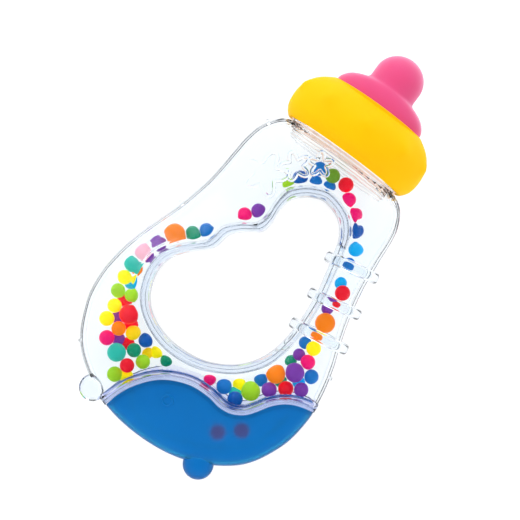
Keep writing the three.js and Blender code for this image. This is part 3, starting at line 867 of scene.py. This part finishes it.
frame["nodes"]["neck_plug"].data.materials.clear()
frame["nodes"]["neck_plug"].data.materials.append(WHITE)


def own_place(node):
    """A bead's centre in the rattle's own frame and its radius, in millimetres."""
    low, high = (Vector(corner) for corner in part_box(node))
    return REST.inverted() @ ((low + high) / 2), max(high - low) / 2 / MM


def bead_size(node, places):
    """A bead as large as its neighbours leave room for, up to a little over its packed size."""
    centre, radius = places[node]
    room = [(centre - other).xy.length - size for name, (other, size) in places.items() if name != node]
    return max(radius, min([radius * BEAD_GROWTH] + room))


def put_beads():
    """Puts a fine bead in the place of each packed one."""
    slots = {
        part["node"]: part["material_slot"]
        for part in frame["record"]["subparts"] if part["node"].startswith("bead_")
    }
    places = {node: own_place(node) for node in slots}
    for index, (node, slot) in enumerate(sorted(slots.items())):
        centre, _ = places[node]
        radius = bead_size(node, places)
        places[node] = (centre, radius)
        finish = BASE_BEAD if node.startswith("bead_base") else BEAD[slot.removeprefix("bead_")]
        piece = bead(f"round_{node}", centre, radius, index + 1)
        place(piece, finish, node + "_body", slot, node)


def put_under_beads():
    """Lays the further beads on the inside of the rear wall, as low as the wall around them allows."""
    rise, clearance, first_seed = 0.75, 0.3, 60  # rise: of a ball's underside towards its rim, per radius
    rear = half_body("hollow", -1, RIM, WALL, 1)
    surface = surface_of(rear)
    bpy.data.objects.remove(rear)
    for index, (colour, x, y, radius) in enumerate(UNDER_BEADS):
        depths = []
        for dx, dy in ((0, 0), (1, 0), (-1, 0), (0, 1), (0, -1)):
            hit = on_surface(surface, x + dx * radius, y + dy * radius, -1)
            if hit:
                depths.append(-hit[0].z + (rise * radius if dx or dy else 0))
        centre = Vector((x, y, radius + clearance - min(depths)))
        piece = bead(f"under_bead_{index + 1}", centre, radius, index + first_seed)
        place(piece, BEAD[colour], "bottle", "bead_" + colour)


put_beads()
put_under_beads()


# ---- Stage, light and camera ----
def floor():
    """A pale table top, softly lit from below and fading away from the middle."""
    size = 1.2
    corners = [(-size, -size, 0), (size, -size, 0), (size, size, 0), (-size, size, 0)]
    mesh = bpy.data.meshes.new("floor")
    mesh.from_pydata(corners, [], [(0, 1, 2, 3)])
    obj = bpy.data.objects.new("floor", mesh)
    bpy.context.scene.collection.objects.link(obj)
    material, tree, shader = principled("pale_floor")
    shader.inputs["Base Color"].default_value = (0.26, 0.26, 0.26, 1)
    shader.inputs["Roughness"].default_value = 0.9
    shader.inputs["Emission Color"].default_value = (0.97, 0.985, 1, 1)
    coords = tree.nodes.new("ShaderNodeTexCoord")
    reach = tree.nodes.new("ShaderNodeVectorMath")
    reach.operation = "LENGTH"
    span = tree.nodes.new("ShaderNodeMapRange")
    span.interpolation_type = "SMOOTHSTEP"
    span.inputs["From Min"].default_value, span.inputs["From Max"].default_value = 0.13, 0.4
    span.inputs["To Min"].default_value, span.inputs["To Max"].default_value = 0.9, 0.12
    tree.links.new(coords.outputs["Object"], reach.inputs[0])
    tree.links.new(reach.outputs["Value"], span.inputs["Value"])
    tree.links.new(span.outputs["Result"], shader.inputs["Emission Strength"])
    mesh.materials.append(material)


def world_light():
    """A soft studio: a bright band half way up, dimmer low down and overhead, brighter to one side."""
    world = bpy.data.worlds.new("studio")
    world.use_nodes = True
    tree = world.node_tree
    coords = tree.nodes.new("ShaderNodeTexCoord")
    split = tree.nodes.new("ShaderNodeSeparateXYZ")
    ramp = tree.nodes.new("ShaderNodeValToRGB")
    ramp.color_ramp.interpolation = "EASE"
    stops = [(0.0, (0.34, 0.35, 0.42)), (0.20, (0.34, 0.35, 0.40)), (0.32, (0.95, 0.95, 0.96)),
             (0.56, (0.95, 0.95, 0.96)), (0.68, (0.26, 0.26, 0.27))]
    for _ in stops[2:]:
        ramp.color_ramp.elements.new(0.5)
    for element, (position, colour) in zip(ramp.color_ramp.elements, stops):
        element.position, element.color = position, (*colour, 1)
    key = tree.nodes.new("ShaderNodeVectorMath")
    key.operation = "DOT_PRODUCT"
    key.inputs[1].default_value = Vector((-0.68, 0.58, 0.46)).normalized()
    lobe = tree.nodes.new("ShaderNodeMapRange")
    lobe.interpolation_type = "SMOOTHSTEP"
    lobe.inputs["From Min"].default_value, lobe.inputs["From Max"].default_value = 0.72, 0.95
    lobe.inputs["To Min"].default_value, lobe.inputs["To Max"].default_value = 2.0, 4.0
    tree.links.new(coords.outputs["Generated"], split.inputs["Vector"])
    tree.links.new(coords.outputs["Generated"], key.inputs[0])
    tree.links.new(split.outputs["Z"], ramp.inputs["Fac"])
    tree.links.new(key.outputs["Value"], lobe.inputs["Value"])
    tree.links.new(ramp.outputs["Color"], tree.nodes["Background"].inputs["Color"])
    tree.links.new(lobe.outputs["Result"], tree.nodes["Background"].inputs["Strength"])
    bpy.context.scene.world = world


def camera():
    """Looks square onto the seam plane, rolled so that the bottle leans to the right."""
    distance, width = 430, 176.8  # from the seam plane, and how much of it is in view
    aim = Vector((-2, 1.3, 0))
    lean = math.radians(36.2)
    right = Vector((math.cos(lean), math.sin(lean), 0))
    up = Vector((-math.sin(lean), math.cos(lean), 0))
    turn = Matrix((right, up, Vector((0, 0, 1)))).transposed().to_4x4()
    lens = bpy.data.cameras.new("camera")
    lens.sensor_width = 36
    lens.lens = lens.sensor_width * distance / width
    obj = bpy.data.objects.new("camera", lens)
    rest_turn = REST.to_3x3().normalized().to_4x4()
    obj.matrix_world = Matrix.Translation(REST @ (aim + Vector((0, 0, distance)))) @ rest_turn @ turn
    bpy.context.scene.collection.objects.link(obj)
    bpy.context.scene.camera = obj


floor()
world_light()
camera()
bpy.context.scene.view_settings.view_transform = "Standard"
CLEAR_LAYERS = 32  # enough bounces for light to pass all the walls of clear plastic
bpy.context.scene.cycles.max_bounces = CLEAR_LAYERS
bpy.context.scene.cycles.transmission_bounces = CLEAR_LAYERS
